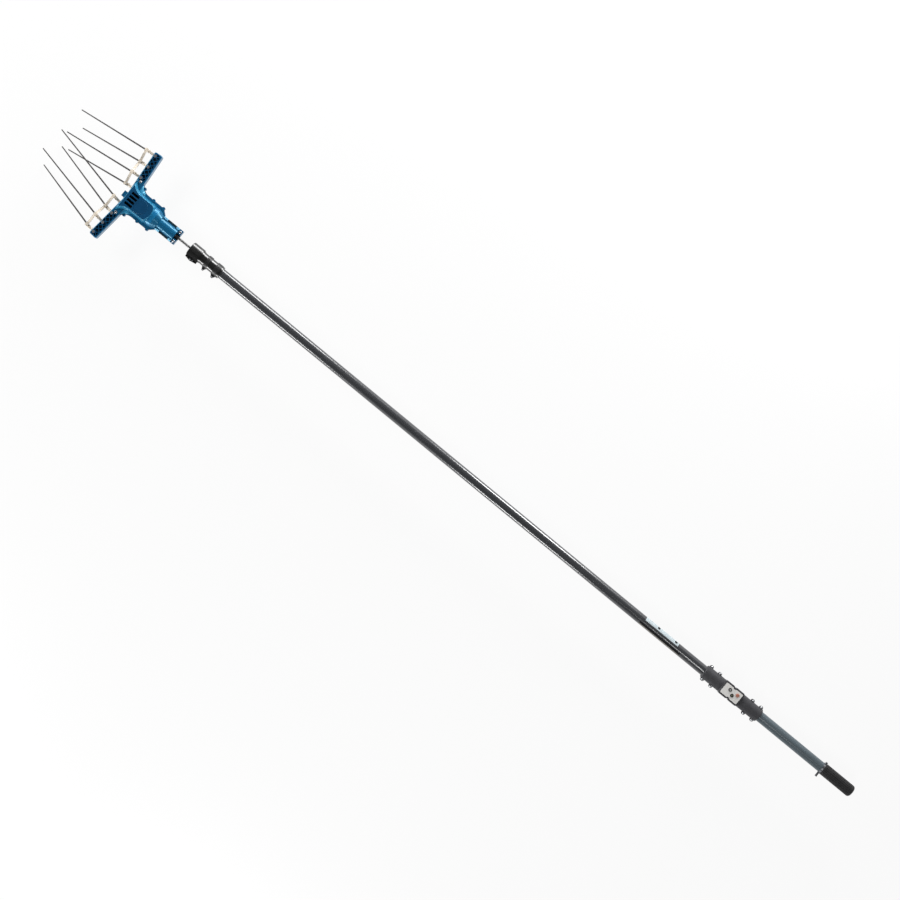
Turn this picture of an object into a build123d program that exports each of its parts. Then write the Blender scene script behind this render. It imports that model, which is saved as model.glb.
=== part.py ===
from build123d import *
import math
import os

# Electric olive harvester. Sizes are in millimetres. The pole lies along Y with the tines towards +Y,
# the face of the head looks up (+Z), and the origin is the middle of the grip on the pole's axis.

# Fits
seat_gap = 0.03
running_gap = 0.05
free_gap = 0.3

# Pole, from the grip to the head
tube_radius = 15.0
tube_wall = 1.5
lower_reach = 232.0
upper_reach = 1752.0
joint_length = 24.0
neck_radius = 3.5
neck_wall = 1.0
neck_reach = 43.5
neck_plug_length = 60.0
neck_plug_depth = 50.0
lead_radius = 2.0
lead_bend = 8.0
lead_hole_gap = 1.0

# Grip with its end inlet and band clip
grip_length = 105.0
grip_radius = 17.5
grip_end_round = 8.0
grip_end_wall = 4.0
groove_count = 20
groove_width = 1.2
groove_depth = 0.8
groove_margin = 4.0
jack_length = 24.0
jack_bore_radius = 4.5
jack_bore_depth = 10.0
jack_window_radius = 6.5
clip_width = 6.0
clip_thickness = 1.2
clip_ears = (12.0, 5.0)
clip_ear_turns = (185.0, -25.0)
clip_bead_radius = 1.6

# Control handle
handle_length = 198.0
handle_radius = 20.0
handle_chamfer = 2.0
ear_radius = 5.3
ear_offset = 21.1
ear_height = 6.0
ear_from_end = (9.75, 39.75)
handle_screw_radius = 2.0
handle_screw_head = 3.4
screw_head_height = 2.4
bulge_width = 43.5
bulge_length = 66.0
bulge_round = 6.0
bulge_edge = 2.5
panel_shift = 4.0
panel_width = 33.2
panel_length = 57.4
panel_thickness = 1.6
panel_top = 25.0
panel_proud = 0.4
panel_ledge = 1.8
panel_corner = 2.0
notch_radius = 6.0
notch_depth = 3.0
panel_foot_radius = 1.6
panel_foot_inset = 5.0
board_thickness = 1.6
board_lift = 0.6
board_margin = 1.5
lead_from_mid = 20.0
lamp_spots = ((5.3, 9.1), (-4.2, -4.4))
lamp_radius = 2.4
lamp_proud = 0.7
lamp_edge = 0.5
bezel_radius = 5.0
bezel_height = 1.2
button_spot = (5.9, -16.7)
button_radius = 5.3
button_proud = 2.0
button_travel = 1.2
button_flange = 1.1
button_flange_thickness = 1.5
button_edge = 1.0
switch_width = 6.0
switch_height = 2.2
plunger_radius = 1.7
plunger_height = 0.5

# Clamp collar and clamp sleeve at the top of the pole
collar_length = 37.5
collar_radius = 21.5
collar_cap = 4.0
collar_edge = 2.0
collar_lug_reach = 29.0
collar_lug_shoulder = 25.5
collar_lug_half = 8.0
collar_split = 1.6
collar_screw_from_low = (11.0, 19.0)
collar_screw_x = 23.4
collar_screw_radius = 1.5
collar_screw_head = 3.0
sleeve_length = 72.5
sleeve_radius = 17.5
sleeve_ring = 1.2
sleeve_ring_width = 5.0
band_spans = ((5.5, 22.0), (40.5, 53.0))
band_thickness = 2.0
band_lug_reach = 27.7
band_lug_half = 5.0
band_lug_tip = 3.0
band_screw_x = 23.0

# Head housing, from the socket mouth along Y
split_wall = 2.5
socket_length = 67.0
socket_radius = 17.5
socket_half = 23.5
socket_flange = 4.0
socket_lump_height = 10.0
socket_lump_spans = ((12.5, 22.5), (54.0, 68.0))
skirt_height = 8.0
skirt_length = 12.5
bush_radius = 7.7
bush_length = 60.0
neck_depth = 55.0
rim_half = 38.5
rim_taper_end = 84.0
rim_height = 5.0
rim_flare_start = 140.0
rim_flare_end = 172.0
rim_shoulder = 66.0
rim_ears = ((37.5, 85.0), (37.5, 120.4), (46.5, 160.0))
rim_ear_radius = 4.5
rim_ear_height = 6.0
hood_radius = 31.5
hood_axis = -6.0
hood_step = 1.0
hood_rear = 70.0
hood_taper_end = 85.0
cover_height = 27.0
cover_half = 25.0
cover_draft = 6.0
cover_rear_wall = 13.0
cover_bow = 8.0
cover_corner = 12.0
cover_base_flare = 146.0
cover_base_shoulder = 62.0
cover_top_flare = 152.0
cover_top_shoulder = 40.0
cover_front = 187.0
cover_edge = 2.5
cap_radius = 20.0
cap_thickness = 2.0
cap_proud = 0.6
cap_edge = 0.4
vent_count = 4
vent_width = 7.3
vent_pitch = 11.1
vent_start = 152.0
vent_end = 177.0
vent_floor = 11.0
nub_base_half = 18.7
nub_half = 7.2
nub_head_half = 9.0
nub_neck_y = 192.5
nub_front = 199.5
nub_height = 11.0

# Arms and their lattice
arm_root = 175.7
arm_sweep = 5.5
arm_half_span = 147.0
arm_depth = 25.0
arm_height = 15.0
arm_end_round = 5.0
arm_edge = 3.0
arm_channel_half = 9.0
arm_rear_wall = 5.0
arm_end_wall = 3.0
arm_channel_start = 15.0
web_thickness = 3.0
lattice_start = 58.0
lattice_depth = 4.0
lattice_rear = 4.5
lattice_front = 3.0
lattice_end = 4.0
lattice_pitch = 14.0
lattice_rib = 1.8
lattice_boss = 5.5
shoulder_screw_x = 53.8
shoulder_screw_y = 180.5
shoulder_boss_radius = 4.0
housing_screw_radius = 1.75
housing_screw_head = 4.0

# Fingers, rods and links
finger_count = 8
finger_pitch = 36.4
first_finger = 27.3
pivot_offset = 5.5
pin_radius = 3.0
pin_head_radius = 4.2
pin_head_height = 1.0
pin_low = 13.5
hub_radius = 6.0
hub_half = 8.0
swing_now = 2.3
swing_half = 12.0
post_cant = 6.5
rod_cant = 10.75
post_width = 7.0
post_height = 8.0
junction_radius = 30.0
junction_lift = 7.5
rod_splay = 17.0
rod_radius = 2.5
rod_tip_radius = 1.6
rod_depth = 10.0
rod_reach = (232.0, 210.0)
barrel_radius = 4.4
barrel_back = 12.0
barrel_front = 4.0
stub_radius = 2.5
stub_head = 0.9
stub_head_height = 1.0
link_lift = 6.6
link_thickness = 3.2
link_width = 7.0
link_eye_radius = 5.2
tail_radius = 22.0
tail_width = 8.0
tail_thickness = 4.7
cross_low = -3.0
cross_thickness = 4.0
cross_eye_radius = 5.5
yoke_wall = 3.0
yoke_width = 18.0
link_room = 0.8

# Motor and reduction
gear_module = 1.0
pinion_teeth = 15
gear_teeth = 42
pressure_angle = 25.0
gear_addendum = 0.9
gear_dedendum = 1.15
gear_backlash = 0.2
gear_low = -20.0
gear_thickness = 6.5
gear_hub_radius = 7.0
gear_web = 3.0
gear_hole_radius = 3.2
gear_hole_count = 5
pinion_overlap = 0.3
gear_well_gap = 0.9
gear_well_low = -21.3
crank_shaft_radius = 4.0
crank_disc_radius = 9.0
crank_disc_thickness = 3.0
crank_pin_radius = 2.5
bearing_radius = 8.0
bearing_width = 3.0
carrier_low = -12.0
carrier_thickness = 2.5
carrier_radius = 25.0
motor_plate_thickness = 3.0
motor_plate_radius = 22.2
motor_plate_end = 14.0
motor_radius = 21.0
motor_well_gap = 1.5
motor_base_radius = 20.0
motor_base_thickness = 2.0
bell_low = 6.0
bell_top = 21.5
bell_wall = 2.0
bell_plate = 2.5
bell_room = 1.0
stator_radius = 18.2
stator_core_radius = 11.0
stator_pole_count = 9
stator_pole_width = 4.4
stator_shoe_width = 9.5
stator_shoe_depth = 2.5
stator_low = 6.5
stator_high = 17.0
motor_boss_radius = 8.0
motor_bearing_radius = 5.5
motor_bearing_width = 4.0
motor_shaft_radius = 2.5
terminal_half = 4.0
terminal_rear = 28.0
terminal_low = 2.5
terminal_gap = 2.0

# Stations along the pole
tube_bore = tube_radius - tube_wall
grip_top = grip_length / 2
grip_end = -grip_top
handle_low = grip_top + lower_reach
handle_high = handle_low + handle_length
handle_mid = (handle_low + handle_high) / 2
panel_mid = handle_mid + panel_shift
sleeve_low = handle_high + upper_reach
sleeve_high = sleeve_low + sleeve_length
collar_high = sleeve_high + collar_length
tube_top = collar_high - collar_cap
tube_end = grip_end + grip_end_wall
mouth = collar_high + neck_reach
HEAD = Pos(0, mouth, 0)


def radians_of(degrees):
    return degrees * math.pi / 180


def block(x, y, z):
    """Box between the low and high values of each axis."""
    return Pos(sum(x) / 2, sum(y) / 2, sum(z) / 2) * Box(x[1] - x[0], y[1] - y[0], z[1] - z[0])


def upright(spot, radius, low, high):
    """Cylinder standing along Z at a place in plan."""
    return Pos(spot[0], spot[1], (low + high) / 2) * Cylinder(radius, high - low)


def shaft(radius, low, high):
    """Cylinder on the pole's axis."""
    return Pos(0, (low + high) / 2, 0) * Rot(90, 0, 0) * Cylinder(radius, high - low)


def pipe(outer, inner, low, high):
    return shaft(outer, low, high) - shaft(inner, low, high)


def prism(points, low, high):
    """Closed plan outline raised along Z."""
    face = make_face(Polyline(*points, close=True))
    return Pos(0, 0, low) * extrude(face, high - low)


def screw(spot, seat, length, radius, head_radius, facing=1):
    """Pan-head screw along Z: its head lies on the seat and faces up (1) or down (-1)."""
    head = upright((0, 0), head_radius, 0, screw_head_height)
    head = chamfer(head.edges().group_by(Axis.Z)[-1], screw_head_height / 3)
    whole = head + upright((0, 0), radius, -length, 0)
    if facing < 0:
        whole = Rot(180, 0, 0) * whole
    return Pos(spot[0], spot[1], seat) * whole


def save(name, shape):
    export_step(shape, os.path.join("parts", name + ".step"))


# Pole


def lead(points):
    path = FilletPolyline(*points, radius=lead_bend)
    section = Plane(origin=path @ 0, z_dir=path % 0) * Circle(lead_radius)
    return sweep(section, path=path)


board_low = tube_radius + board_lift
board_high = board_low + board_thickness
lead_hole_radius = lead_radius + lead_hole_gap
supply_exit = panel_mid - lead_from_mid
motor_exit = panel_mid + lead_from_mid


def make_pole():
    lower = pipe(tube_radius, tube_bore, tube_end, handle_mid)
    lower -= upright((0, supply_exit), lead_hole_radius, 0, tube_radius * 2)
    save("lower_tube", lower)
    upper = pipe(tube_radius, tube_bore, handle_mid, tube_top)
    upper -= upright((0, motor_exit), lead_hole_radius, 0, tube_radius * 2)
    save("upper_tube", upper)
    half = joint_length / 2
    insert = tube_bore - seat_gap
    save("tube_joint", pipe(insert, insert - tube_wall * 2, handle_mid - half, handle_mid + half))
    plug = shaft(insert, tube_top - neck_plug_length, tube_top)
    plug -= shaft(neck_radius + seat_gap, tube_top - neck_plug_depth, tube_top)
    plug -= shaft(lead_hole_radius, tube_top - neck_plug_length, tube_top)
    save("neck_plug", plug)
    neck_low = tube_top - neck_plug_depth
    save("neck_tube", pipe(neck_radius, neck_radius - neck_wall, neck_low, mouth + neck_depth))
    jack_high = tube_end + jack_length
    jack = shaft(insert, tube_end, jack_high) - shaft(jack_bore_radius, tube_end, tube_end + jack_bore_depth)
    save("supply_jack", jack)
    save("supply_lead", lead([(0, jack_high, 0), (0, supply_exit, 0), (0, supply_exit, board_low)]))
    terminal_face = mouth + motor_y - terminal_rear
    save("motor_cable", lead([(0, motor_exit, board_low), (0, motor_exit, 0), (0, terminal_face, 0)]))


def make_grip():
    body = shaft(grip_radius, grip_end, grip_top)
    body = fillet(body.edges().group_by(Axis.Y)[0], grip_end_round)
    body -= shaft(tube_radius + seat_gap, tube_end, grip_top)
    body -= shaft(jack_window_radius, grip_end, tube_end)
    groove_low = grip_end + grip_end_round + groove_margin
    groove_high = grip_top - groove_margin
    groove = block((-groove_width / 2, groove_width / 2), (groove_low, groove_high),
                   (grip_radius - groove_depth, grip_radius + groove_depth))
    for index in range(groove_count):
        body -= Rot(0, (index + 0.5) * 360 / groove_count, 0) * groove
    save("grip", body)

    low = grip_top
    high = grip_top + clip_width
    outer = tube_radius + seat_gap + clip_thickness
    clip = pipe(outer, tube_radius + seat_gap, low, high)
    for turn, reach in zip(clip_ear_turns, clip_ears):
        start = tube_radius + seat_gap + clip_thickness / 2
        tab = block((start, outer + reach), (low, high), (-clip_thickness / 2, clip_thickness / 2))
        bead = Pos(outer + reach, (low + high) / 2, 0) * Rot(90, 0, 0) * Cylinder(clip_bead_radius, clip_width)
        clip += Rot(0, turn, 0) * (tab + bead)
    clip -= shaft(tube_radius + seat_gap, low, high)
    save("grip_clip", clip)


# Clamps at the top of the pole


def make_clamps():
    mid = (sleeve_high + collar_high) / 2
    collar = shaft(collar_radius, sleeve_high, collar_high)
    collar = chamfer(collar.edges().group_by(Axis.Y)[-1], collar_edge)
    lug = [(-tube_radius, sleeve_high), (-collar_lug_shoulder, sleeve_high), (-collar_lug_reach, mid),
           (-collar_lug_shoulder, collar_high - collar_edge), (-tube_radius, collar_high - collar_edge)]
    collar += prism(lug, -collar_lug_half, collar_lug_half)
    collar -= shaft(tube_radius + seat_gap, sleeve_high, tube_top)
    collar -= shaft(neck_radius + free_gap, tube_top, collar_high)
    split = (-collar_split / 2, collar_split / 2)
    collar -= block((-collar_lug_reach, -tube_radius), (sleeve_high, tube_top), split)
    screws = []
    for from_low in collar_screw_from_low:
        spot = (-collar_screw_x, sleeve_high + from_low)
        collar -= upright(spot, collar_screw_radius + seat_gap, -collar_lug_half, collar_lug_half)
        length = collar_lug_half * 2
        screws.append(screw(spot, collar_lug_half, length, collar_screw_radius, collar_screw_head))
    save("collar", collar)
    save("collar_screws", Compound(screws))

    sleeve = shaft(sleeve_radius, sleeve_low, sleeve_high)
    for low in (sleeve_low, sleeve_high - sleeve_ring_width):
        sleeve += shaft(sleeve_radius + sleeve_ring, low, low + sleeve_ring_width)
    sleeve -= shaft(tube_radius + seat_gap, sleeve_low, sleeve_high)
    save("clamp_sleeve", sleeve)

    bands = []
    band_screws = []
    for start, end in band_spans:
        low = sleeve_low + start
        high = sleeve_low + end
        centre = (low + high) / 2
        tip = band_lug_tip / 2
        ring = shaft(sleeve_radius + band_thickness, low, high)
        lug = [(-sleeve_radius, low), (-band_lug_reach, centre - tip), (-band_lug_reach, centre + tip),
               (-sleeve_radius, high)]
        ring += prism(lug, -band_lug_half, band_lug_half)
        ring -= shaft(sleeve_radius + seat_gap, low, high)
        spot = (-band_screw_x, centre)
        ring -= upright(spot, collar_screw_radius + seat_gap, -band_lug_half, band_lug_half)
        bands.append(ring)
        length = band_lug_half * 2
        band_screws.append(screw(spot, band_lug_half, length, collar_screw_radius, collar_screw_head))
    save("sleeve_bands", Compound(bands))
    save("sleeve_screws", Compound(band_screws))


# Control handle

panel_low = panel_top - panel_thickness
bulge_top = panel_top - panel_proud
ear_stations = [handle_low + inset for inset in ear_from_end]
ear_stations += [handle_high - inset for inset in ear_from_end]
ear_spots = [(side * ear_offset, station) for side in (-1, 1) for station in ear_stations]


def panel_outline(grow):
    """White panel in plan, with rounded corners and a notch in the middle of each long side."""
    half = panel_width / 2
    plate = RectangleRounded(panel_width + 2 * grow, panel_length + 2 * grow, panel_corner)
    for side in (-1, 1):
        plate -= Pos(side * (half + notch_radius - notch_depth), 0) * Circle(notch_radius - grow)
    return Pos(0, panel_mid) * plate


def handle_half(top):
    """One half of the clamshell: the front (1) carries the bulge for the panel."""
    shell = shaft(handle_radius, handle_low, handle_high)
    shell = chamfer(shell.edges().filter_by(GeomType.CIRCLE), handle_chamfer)
    for spot in ear_spots:
        shell += upright(spot, ear_radius, -ear_height, ear_height)
    if top > 0:
        bulge = Pos(0, panel_mid) * RectangleRounded(bulge_width, bulge_length, bulge_round)
        bulge = extrude(bulge, bulge_top)
        bulge = fillet(bulge.edges().group_by(Axis.Z)[-1], bulge_edge)
        for side in (-1, 1):
            spot = (side * (bulge_width / 2 + notch_radius - notch_depth), panel_mid)
            bulge -= upright(spot, notch_radius, 0, bulge_top)
        shell += bulge
    reach = bulge_width
    keep = (0, reach) if top > 0 else (-reach, 0)
    shell &= block((-reach, reach), (handle_low, handle_high), keep)
    return shell - shaft(tube_radius + seat_gap, handle_low, handle_high)


def make_handle():
    front = handle_half(1)
    front -= Pos(0, 0, panel_low) * extrude(panel_outline(seat_gap), panel_thickness)
    front -= extrude(panel_outline(-panel_ledge), panel_low)
    rear = handle_half(-1)
    screws = []
    for spot in ear_spots:
        hole = upright(spot, handle_screw_radius + seat_gap, -ear_height, ear_height)
        front -= hole
        front -= upright(spot, handle_screw_head + free_gap, ear_height, handle_radius)
        rear -= hole
        screws.append(screw(spot, ear_height, ear_height * 2, handle_screw_radius, handle_screw_head))
    save("handle_front", front)
    save("handle_rear", rear)
    save("handle_screws", Compound(screws))

    board = Pos(0, 0, board_low) * extrude(panel_outline(-panel_ledge - board_margin), board_thickness)
    save("circuit_board", board)

    panel = Pos(0, 0, panel_low) * extrude(panel_outline(0), panel_thickness)
    foot_x = panel_width / 2 - panel_foot_inset
    foot_y = panel_length / 2 - panel_foot_inset
    for side in (-1, 1):
        for end in (-1, 1):
            foot = (side * foot_x, panel_mid + end * foot_y)
            panel += upright(foot, panel_foot_radius, board_high, panel_low)
    lamps = []
    bezels = []
    for x, y in lamp_spots:
        spot = (x, panel_mid + y)
        panel -= upright(spot, lamp_radius + seat_gap, panel_low, panel_top)
        bezel = upright(spot, bezel_radius, panel_top, panel_top + bezel_height)
        bezels.append(bezel - upright(spot, lamp_radius + seat_gap, panel_top, panel_top + bezel_height))
        lamp = upright(spot, lamp_radius, board_high, panel_top + lamp_proud)
        lamps.append(chamfer(lamp.edges().group_by(Axis.Z)[-1], lamp_edge))
    push = (button_spot[0], panel_mid + button_spot[1])
    panel -= upright(push, button_radius + free_gap, panel_low, panel_top)
    save("control_panel", panel)
    save("indicator_lamps", Compound(lamps))
    save("lamp_bezels", Compound(bezels))

    switch_top = board_high + switch_height
    half = switch_width / 2
    across = (push[0] - half, push[0] + half)
    switch = block(across, (push[1] - half, push[1] + half), (board_high, switch_top))
    plunger_top = switch_top + plunger_height
    switch += upright(push, plunger_radius, switch_top, plunger_top)
    save("push_switch", switch)
    flange_high = panel_low - free_gap
    flange_low = flange_high - button_flange_thickness
    button = upright(push, button_radius, flange_low, panel_top + button_proud)
    button = chamfer(button.edges().group_by(Axis.Z)[-1], button_edge)
    button += upright(push, button_radius + button_flange, flange_low, flange_high)
    button += upright(push, plunger_radius, plunger_top + button_travel + free_gap, flange_high)
    save("power_button", button)


# Head: places shared by the housing and the mechanism


def arm_line(x):
    """Y of an arm's middle line at a distance x from the head's middle."""
    return arm_root + x * math.tan(radians_of(arm_sweep))


def plan(length, lean):
    """Plan vector of a length whose direction leans from +Y towards +X."""
    return Vector(length * math.sin(radians_of(lean)), length * math.cos(radians_of(lean)), 0)


def finger_side(number):
    return -1 if number <= finger_count / 2 else 1


def finger_tier(number):
    """Even fingers rise towards the face, odd ones drop away from it."""
    return 1 if number % 2 == 0 else -1


def finger_pivot(number):
    side = finger_side(number)
    steps = abs(number - (finger_count + 1) / 2) - 0.5
    x = first_finger + steps * finger_pitch
    return Vector(side * x, arm_line(x) + pivot_offset, 0)


def finger_junction(number):
    lean = swing_now - finger_side(number) * post_cant
    rise = Vector(0, 0, finger_tier(number) * junction_lift)
    return finger_pivot(number) + plan(junction_radius, lean) + rise


def rod_direction(number):
    lean = swing_now - finger_side(number) * rod_cant
    flat = plan(math.cos(radians_of(rod_splay)), lean)
    return flat + Vector(0, 0, finger_tier(number) * math.sin(radians_of(rod_splay)))


def tail_pin(number):
    return finger_pivot(number) - plan(tail_radius, swing_now)


inner_fingers = (finger_count // 2, finger_count // 2 + 1)


def pin_top(number):
    """The inner pins end under the raised cover, the others come out on the face of the arm."""
    return pin_low if number in inner_fingers else arm_height


crank_y = tail_pin(inner_fingers[0]).Y
motor_y = crank_y - gear_module * (pinion_teeth + gear_teeth) / 2
crank_throw = tail_radius * math.sin(radians_of(swing_half))
crank_phase = math.asin(math.sin(radians_of(swing_now)) / math.sin(radians_of(swing_half)))
crank_pin = (-crank_throw * math.sin(crank_phase), crank_y + crank_throw * math.cos(crank_phase))
gear_outer = gear_module * (gear_teeth / 2 + gear_addendum)
pinion_outer = gear_module * (pinion_teeth / 2 + gear_addendum)
yoke_slot_half = crank_throw + crank_pin_radius + free_gap * 2
yoke_half_length = yoke_slot_half + yoke_wall
carrier_high = carrier_low + carrier_thickness
tail_high = cross_low - free_gap
motor_well = motor_radius + motor_well_gap
motor_well_top = bell_top + bell_room


# Head housing


def rim_outline():
    """Rim of the body in plan: it tapers out from the socket and flares to the shoulders."""
    right = [(socket_half, socket_length), (rim_half, rim_taper_end), (rim_half, rim_flare_start)]
    flare_end = (rim_shoulder, rim_flare_end)
    front = (rim_shoulder, cover_front)
    edges = [Polyline(*right), TangentArc(right[-1], flare_end, tangent=(0, 1)), Line(flare_end, front)]
    return mirrored_face(edges, right[0], front)


def mirrored_face(edges, start, end):
    """Face between a right-hand side, its mirror image and the two lines that join them."""
    left = [mirror(edge, about=Plane.YZ) for edge in edges]
    ends = [Line((-start[0], start[1]), start), Line((-end[0], end[1]), end)]
    return make_face(edges + left + ends)


def cover_outline(half, rear, flare, shoulder):
    """Raised cover in plan: bowed rear end, straight sides and flared shoulders."""
    corner = rear + cover_bow
    side = Line((half, corner), (half, flare))
    flank = TangentArc((half, flare), (shoulder, cover_front), tangent=(0, 1))
    left = [mirror(edge, about=Plane.YZ) for edge in (side, flank)]
    rear_arc = ThreePointArc((-half, corner), (0, rear), (half, corner))
    front = Line((-shoulder, cover_front), (shoulder, cover_front))
    outline = make_face([rear_arc, side, flank, front] + left)
    return fillet(outline.vertices().group_by(Axis.Y)[0], cover_corner)


def raised_cover():
    """Flat-topped cover over the motor, with drafted walls that spread to the shoulders."""
    rear = motor_y - motor_well - cover_rear_wall
    base = cover_outline(cover_half + cover_draft, rear - cover_draft, cover_base_flare, cover_base_shoulder)
    top = cover_outline(cover_half, rear, cover_top_flare, cover_top_shoulder)
    form = loft([Pos(0, 0, rim_height) * base, Pos(0, 0, cover_height) * top], ruled=True)
    return fillet(form.faces().sort_by(Axis.Z)[-1].edges(), cover_edge)


def hood():
    """Round body behind the raised cover, tapering down to the socket."""
    small = socket_radius + hood_step - hood_axis
    taper = Rot(-90, 0, 0) * Cone(small, hood_radius, hood_taper_end - hood_rear)
    body = Pos(0, (hood_rear + hood_taper_end) / 2, 0) * taper + shaft(hood_radius, hood_taper_end, motor_y)
    kept = block((-hood_radius, hood_radius), (hood_rear, motor_y), (0, hood_radius))
    return Pos(0, 0, hood_axis) * body & kept


def arm_place(side):
    """Frame of an arm: X runs outwards along it, Y to the front."""
    place = Pos(0, arm_root) * Rot(0, 0, arm_sweep)
    return lambda shape: place * shape if side > 0 else mirror(place * shape, about=Plane.YZ)


arm_length = arm_half_span / math.cos(radians_of(arm_sweep))
arm_end = arm_length - arm_end_wall
pin_y = pivot_offset * math.cos(radians_of(arm_sweep))
pin_x = [(first_finger + index * finger_pitch) / math.cos(radians_of(arm_sweep)) + pivot_offset
         * math.sin(radians_of(arm_sweep)) for index in range(finger_count // 2)]


def arm_half():
    """Upper half of an arm with the lattice pockets in its face."""
    half = arm_depth / 2
    bar = block((0, arm_length), (-half, half), (0, arm_height))
    bar = fillet(bar.edges().filter_by(Axis.Z).group_by(Axis.X)[-1], arm_end_round)
    rim = [edge for edge in bar.faces().sort_by(Axis.Z)[-1].edges() if edge.center().X > arm_edge]
    bar = fillet(rim, arm_edge)
    low = -half + lattice_rear
    high = half - lattice_front
    far = arm_length - lattice_end
    cells = Pos((lattice_start + far) / 2, (low + high) / 2) * Rectangle(far - lattice_start, high - low)
    turn = math.degrees(math.atan2(high - low, lattice_pitch))
    count = math.ceil((far - lattice_start) / lattice_pitch)
    rib_length = 2 * (high - low)
    ribs = Sketch()
    for index in range(-1, count + 1):
        middle = Pos(lattice_start + (index + 0.5) * lattice_pitch, (low + high) / 2)
        for lean in (turn, -turn):
            ribs += middle * Rot(0, 0, lean) * Rectangle(rib_length, lattice_rib)
    for x in pin_x:
        ribs += Pos(x, pin_y) * Circle(lattice_boss)
    cells -= ribs
    pockets = Pos(0, 0, arm_height - lattice_depth) * extrude(cells, lattice_depth)
    return bar - pockets


def arm_channel():
    """Space inside an arm for the finger hubs, open to the front and crossed by webs."""
    half = arm_depth / 2
    rear = -half + arm_rear_wall
    space = block((arm_channel_start, arm_end), (rear, arm_depth), (-arm_channel_half, arm_channel_half))
    for near, far in zip(pin_x, pin_x[1:]):
        middle = (near + far) / 2
        wall = (middle - web_thickness / 2, middle + web_thickness / 2)
        space -= block(wall, (rear, half - arm_edge), (-arm_channel_half, arm_channel_half))
    return space


def socket_half_form():
    tube_high = hood_taper_end
    tube = shaft(socket_radius, 0, tube_high) & block(
        (-socket_half, socket_half), (skirt_length, tube_high), (0, socket_radius))
    form = tube + block((-socket_half, socket_half), (0, socket_length), (0, socket_flange))
    form += block((-socket_half, socket_half), (0, skirt_length), (0, skirt_height))
    for span in socket_lump_spans:
        lump = block((-socket_half, socket_half), span, (0, socket_lump_height))
        form += chamfer(lump.edges().filter_by(Axis.Y).group_by(Axis.Z)[-1], socket_lump_height / 2)
    return form


def half_form():
    """Outside of the upper half of the housing."""
    form = extrude(rim_outline(), rim_height) + raised_cover() + hood() + socket_half_form()
    nub = [(-nub_base_half, cover_front - cover_edge), (-nub_half, nub_neck_y), (-nub_head_half, nub_neck_y),
           (-nub_head_half, nub_front), (nub_head_half, nub_front), (nub_head_half, nub_neck_y),
           (nub_half, nub_neck_y), (nub_base_half, cover_front - cover_edge)]
    form += prism(nub, 0, nub_height)
    arm = arm_half()
    for side in (-1, 1):
        form += arm_place(side)(arm)
        for x, y in rim_ears:
            form += upright((side * x, y), rim_ear_radius, 0, rim_ear_height)
    return form


link_x = first_finger + crank_throw + cross_eye_radius + link_room
link_rear = crank_y - cross_eye_radius - link_room


def link_bay():
    """Deeper part of the lower half around the levers and the cross link."""
    side = link_x + split_wall
    bay = block((-side, side), (link_rear - split_wall, arm_root), (carrier_high - split_wall, 0))
    return fillet(bay.edges().filter_by(Axis.Z), split_wall)


def head_space():
    """Everything hollow inside the closed housing."""
    space = upright((0, motor_y), motor_well, 0, motor_well_top)
    rear = motor_y - terminal_rear - terminal_gap
    side = terminal_half + terminal_gap
    space += block((-side, side), (rear, motor_y - motor_well / 2), (-terminal_low - terminal_gap, bell_low))
    space += upright((0, motor_y), pinion_outer + gear_well_gap, gear_well_low, 0)
    space += upright((0, crank_y), gear_outer + gear_well_gap, gear_well_low, carrier_low)
    space += upright((0, crank_y), carrier_radius + seat_gap, carrier_low, carrier_high)
    space += upright((0, crank_y), bearing_radius + seat_gap, gear_well_low - bearing_width, gear_well_low)
    yoke_x = yoke_width / 2 + crank_throw + link_room
    yoke_rear = crank_y - yoke_half_length - link_room
    inner_front = arm_line(0) + arm_depth / 2 - arm_rear_wall
    link_level = (carrier_high, cross_low + cross_thickness + free_gap + stub_head_height + link_room)
    space += block((-link_x, link_x), (link_rear, inner_front), link_level)
    space += block((-yoke_x, yoke_x), (yoke_rear, inner_front), link_level)
    vent_half = vent_pitch * (vent_count - 1) / 2 + vent_width / 2
    space += block((-vent_half, vent_half), (motor_y, vent_end), (vent_floor, motor_well_top))
    space += shaft(bush_radius + seat_gap, 0, bush_length)
    space += shaft(lead_radius + lead_hole_gap, bush_length, rear + terminal_gap)
    channel = arm_channel()
    for side in (-1, 1):
        space += arm_place(side)(channel)
    return space


def shoulder_bosses():
    """Columns in the arm channels that take the shoulder screws."""
    return [upright((side * shoulder_screw_x, shoulder_screw_y), shoulder_boss_radius, -arm_channel_half,
                    arm_channel_half) for side in (-1, 1)]


socket_screw_spots = [(side * (socket_half + bush_radius) / 2, skirt_length / 2) for side in (-1, 1)]
shoulder_spots = [(side * shoulder_screw_x, shoulder_screw_y) for side in (-1, 1)]
rim_spots = [(side * x, y) for side in (-1, 1) for x, y in rim_ears]


def fastener_holes():
    hole = housing_screw_radius + seat_gap
    holes = [upright(spot, hole, -rim_ear_height, rim_ear_height - split_wall) for spot in rim_spots]
    holes += [upright(spot, hole, -arm_height + split_wall, arm_height) for spot in shoulder_spots]
    holes += [upright(spot, hole, -skirt_height + split_wall, skirt_height) for spot in socket_screw_spots]
    for number in range(1, finger_count + 1):
        pivot = finger_pivot(number)
        holes.append(upright((pivot.X, pivot.Y), pin_radius + seat_gap, -pin_low, pin_top(number)))
    return holes


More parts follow.
